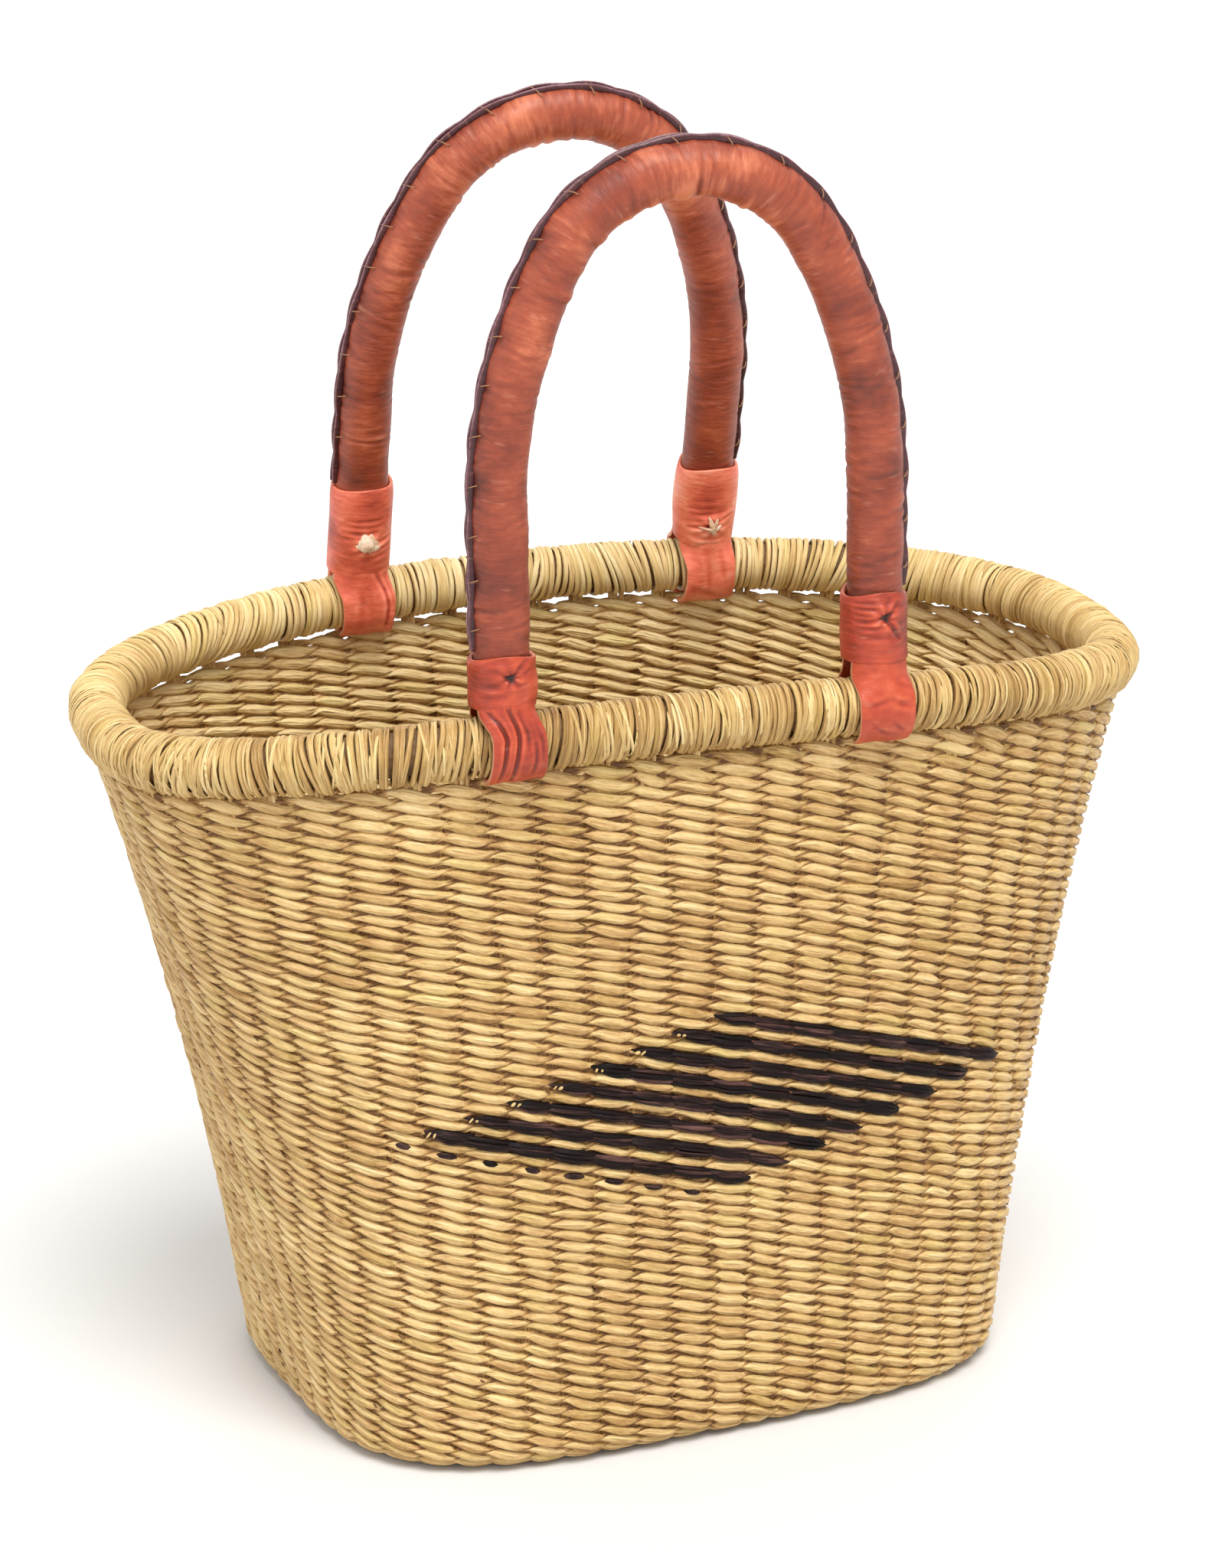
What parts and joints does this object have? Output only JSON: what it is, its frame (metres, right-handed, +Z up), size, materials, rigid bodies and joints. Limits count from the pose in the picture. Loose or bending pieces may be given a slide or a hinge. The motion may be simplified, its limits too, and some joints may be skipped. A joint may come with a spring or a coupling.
{
  "type": "woven market basket",
  "caption": "Oval woven straw market basket with a wrapped roll rim and two leather covered arch handles that swing on loops round the rim",
  "frame": {"origin": "Middle of the underside of the base, under the middle of the mouth", "axes": "+Z up; +X along the mouth's long axis, towards the right end; -Y towards the front, where the front handle is"},
  "size_m": [0.4534, 0.25, 0.5508],
  "materials": {
    "straw": "split grass straw twined tight, satin",
    "rim_straw": "fine split straw wrapping, satin",
    "dyed_straw": "dyed dark brown grass straw, satin",
    "leather": "thin reddish brown goat leather, waxed, creased across",
    "cuff_leather": "thin orange red goat leather, creased",
    "lace": "dark purple brown leather lace",
    "thong": "pale undyed leather thong"
  },
  "bodies": {
    "basket": {"base_weave": "straw", "base_spokes": "straw", "wall_weave": "straw", "wall_stakes": "straw", "pattern_front": "dyed_straw", "pattern_back": "dyed_straw", "rim_core": "straw", "rim_wrap": "rim_straw"},
    "handle_front": {"front_core": "straw", "front_cover": "leather", "front_seam": "lace", "front_cuff_left": "cuff_leather", "front_cuff_right": "cuff_leather", "front_loop_left": "cuff_leather", "front_loop_right": "cuff_leather", "front_tie_left": "thong", "front_tie_right": "thong"},
    "handle_back": {"back_core": "straw", "back_cover": "leather", "back_seam": "lace", "back_cuff_left": "cuff_leather", "back_cuff_right": "cuff_leather", "back_loop_left": "cuff_leather", "back_loop_right": "cuff_leather", "back_tie_left": "thong", "back_tie_right": "thong"}
  },
  "joints": [
    {"name": "front_handle_swing", "type": "hinge", "parent": "basket", "child": "handle_front", "pos_m": [0, -0.1091, 0.31253], "axis": [-1, 0, 0], "range_deg": [-100, 25]},
    {"name": "back_handle_swing", "type": "hinge", "parent": "basket", "child": "handle_back", "pos_m": [0, 0.1091, 0.31253], "axis": [1, 0, 0], "range_deg": [-115, 10]}
  ]
}
